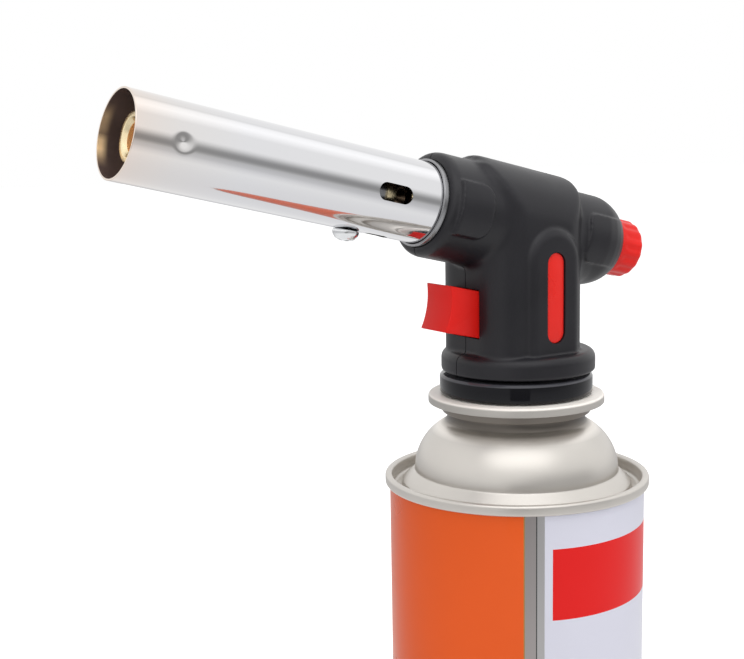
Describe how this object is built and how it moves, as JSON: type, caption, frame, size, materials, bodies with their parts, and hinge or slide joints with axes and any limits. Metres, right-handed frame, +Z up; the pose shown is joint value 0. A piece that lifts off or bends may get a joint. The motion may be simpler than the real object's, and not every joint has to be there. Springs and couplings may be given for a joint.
{
  "type": "cartridge blow torch",
  "caption": "Hand blow torch with an upward-tilted steel flame tube, a trigger and a gas knob, clipped onto a slim rimmed gas cartridge.",
  "frame": {"origin": "on the cartridge's axis, at the plane of its foot rim", "axes": "+Z up along the cartridge's axis; the flame tube points towards -X, tilted 13 degrees up; the housing's two shells meet on the plane Y = 0"},
  "size_m": [0.1479, 0.0684, 0.2566],
  "materials": {
    "can_paint": "printed enamel, semi-gloss",
    "tinplate": "satin tinplate",
    "valve_plastic": "moulded, natural white",
    "seal_rubber": "smooth nitrile",
    "spring_steel": "drawn wire",
    "housing_plastic": "fine moulded grain",
    "ring_plastic": "polished black",
    "red_plastic": "smooth moulded red",
    "badge": "red enamel with a pale border",
    "brass": "turned",
    "copper": "drawn copper",
    "burner_brass": "heat-tinted",
    "tube_chrome": "polished stainless tube",
    "steel": "turned steel",
    "screw_steel": "plated",
    "igniter_plastic": "moulded dark grey",
    "plunger_plastic": "moulded white",
    "lead_cover": "silicone",
    "insulator_ceramic": "unglazed"
  },
  "bodies": {
    "cartridge": {"can_body": "can_paint", "can_bottom": "tinplate", "can_top": "tinplate", "mounting_collar": "tinplate", "valve_cup": "tinplate", "valve_housing": "valve_plastic", "stem_gasket": "seal_rubber", "stem_spring": "spring_steel", "vapour_tube": "valve_plastic"},
    "stem": {"valve_stem": "valve_plastic"},
    "head": {"near_shell": "housing_plastic", "far_shell": "housing_plastic", "shell_screws": "screw_steel", "side_badges": "badge", "gas_inlet": "brass", "inlet_seal": "seal_rubber", "gas_pipe": "copper", "valve_body": "brass", "packing_nut": "brass", "jet_holder": "brass", "gas_jet": "brass", "mixing_tube": "steel", "mixer_bush": "burner_brass", "burner_head": "burner_brass", "tube_holder": "steel", "flame_tube": "tube_chrome", "tube_screw": "screw_steel", "heat_sleeve": "steel", "piezo_igniter": "igniter_plastic", "piezo_spring": "spring_steel", "ignition_lead": "lead_cover", "insulator": "insulator_ceramic", "electrode": "steel"},
    "lock": {"lock_ring": "ring_plastic"},
    "packing": {"spindle_seal": "seal_rubber"},
    "valve_knob": {"knob": "red_plastic", "spindle": "steel"},
    "trigger": {"trigger": "red_plastic", "plunger": "plunger_plastic"}
  },
  "joints": [
    {"name": "stem_press", "type": "slide", "parent": "cartridge", "child": "stem", "axis": [0, 0, -1], "range_m": [0, 0.0012], "stiffness_N_per_m": 2000, "deforming": ["stem_spring"]},
    {"name": "head_lift", "type": "slide", "parent": "cartridge", "child": "head", "axis": [0, 0, 1], "range_m": [0, 0.025]},
    {"name": "lock_twist", "type": "hinge", "parent": "head", "child": "lock", "pos_m": [0, 0, 0.182], "axis": [0, 0, 1], "range_deg": [0, 35]},
    {"name": "needle_travel", "type": "slide", "parent": "head", "child": "packing", "axis": [0.9744, 0, -0.225], "range_m": [0, 0.0008]},
    {"name": "knob_turn", "type": "hinge", "parent": "packing", "child": "valve_knob", "pos_m": [0, 0, 0.2222], "axis": [0.9744, 0, -0.225], "range_deg": [0, 360]},
    {"name": "trigger_press", "type": "slide", "parent": "head", "child": "trigger", "axis": [0.9744, 0, -0.225], "range_m": [0, 0.0055], "stiffness_N_per_m": 1200, "deforming": ["piezo_spring"]}
  ],
  "couplings": [
    {"joint": "knob_turn", "follows": "needle_travel", "rad_per_m": 7853.9}
  ]
}
